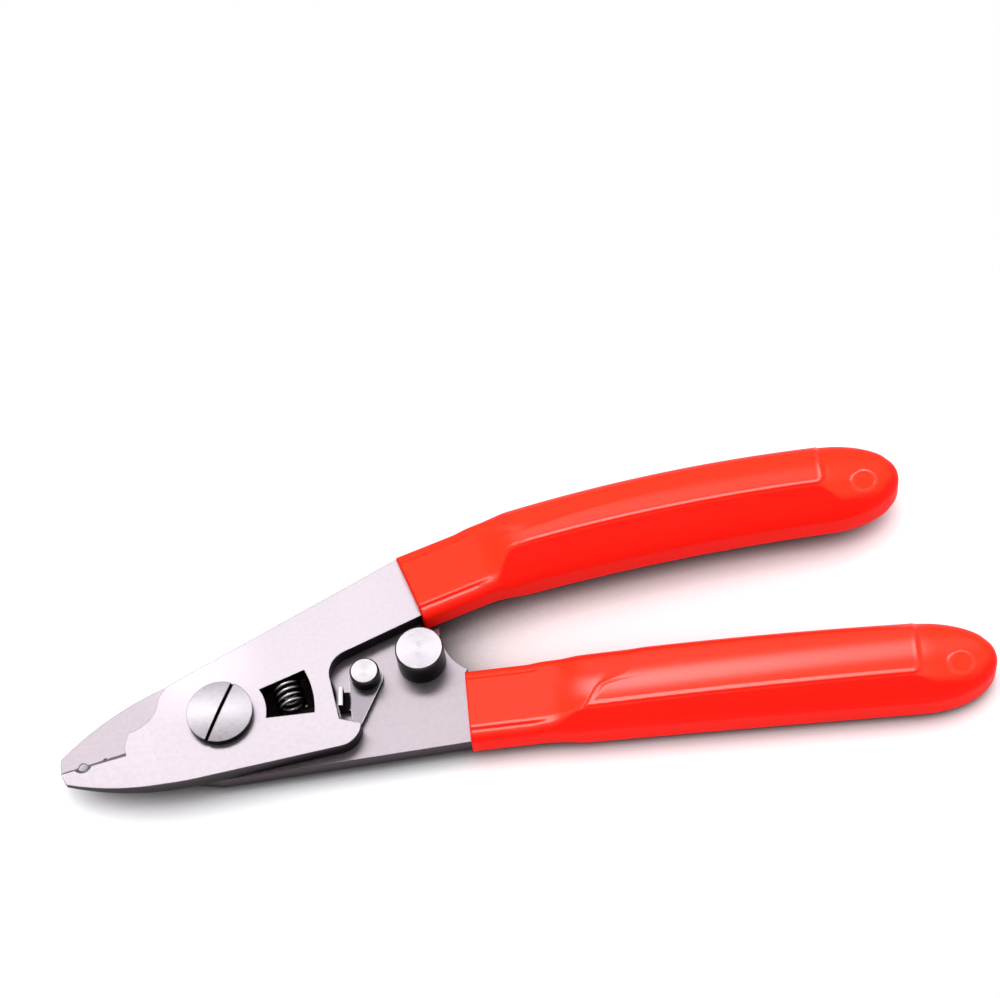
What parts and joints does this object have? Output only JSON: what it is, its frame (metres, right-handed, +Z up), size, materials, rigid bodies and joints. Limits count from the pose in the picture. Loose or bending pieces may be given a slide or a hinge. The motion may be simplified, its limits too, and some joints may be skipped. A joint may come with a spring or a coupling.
{
  "type": "fibre stripper",
  "caption": "Plier-type hand tool with ground jaws and stripping holes, a pivot screw, a return spring, a swinging lock lever and moulded grips",
  "frame": {"origin": "on the pivot axis, on the flat end of the pivot nut on which the closed tool lies", "axes": "+X runs back from the jaws along the handles; +Z points up along the pivot axis through the thickness of the tool"},
  "size_m": [0.1666, 0.0587, 0.0135],
  "materials": {
    "steel": "satin ground sheet steel",
    "turned_steel": "turned and plated steel",
    "spring_steel": "bright drawn wire",
    "grip": "glossy moulded vinyl"
  },
  "bodies": {
    "lower": {"lower_half": "steel", "pivot_screw": "turned_steel", "pivot_washer": "turned_steel", "pivot_nut": "turned_steel", "opening_spring": "spring_steel", "lever_rivet": "turned_steel", "stop_post": "turned_steel", "stop_nut": "turned_steel", "lower_grip": "grip"},
    "upper": {"upper_half": "steel", "upper_grip": "grip"},
    "lever": {"lock_lever": "steel"}
  },
  "joints": [
    {"name": "handle_pivot", "type": "hinge", "parent": "lower", "child": "upper", "pos_m": [0, 0, 0.00755], "axis": [0, 0, 1], "range_deg": [0, 10], "deforming": ["opening_spring"]},
    {"name": "latch_swing", "type": "hinge", "parent": "lower", "child": "lever", "pos_m": [0.02576, 0.00649, 0.00665], "axis": [0, 0, 1], "range_deg": [0, 82]}
  ],
  "couplings": [
    {"joint": "latch_swing", "follows": "handle_pivot", "ratio": 8.2}
  ]
}
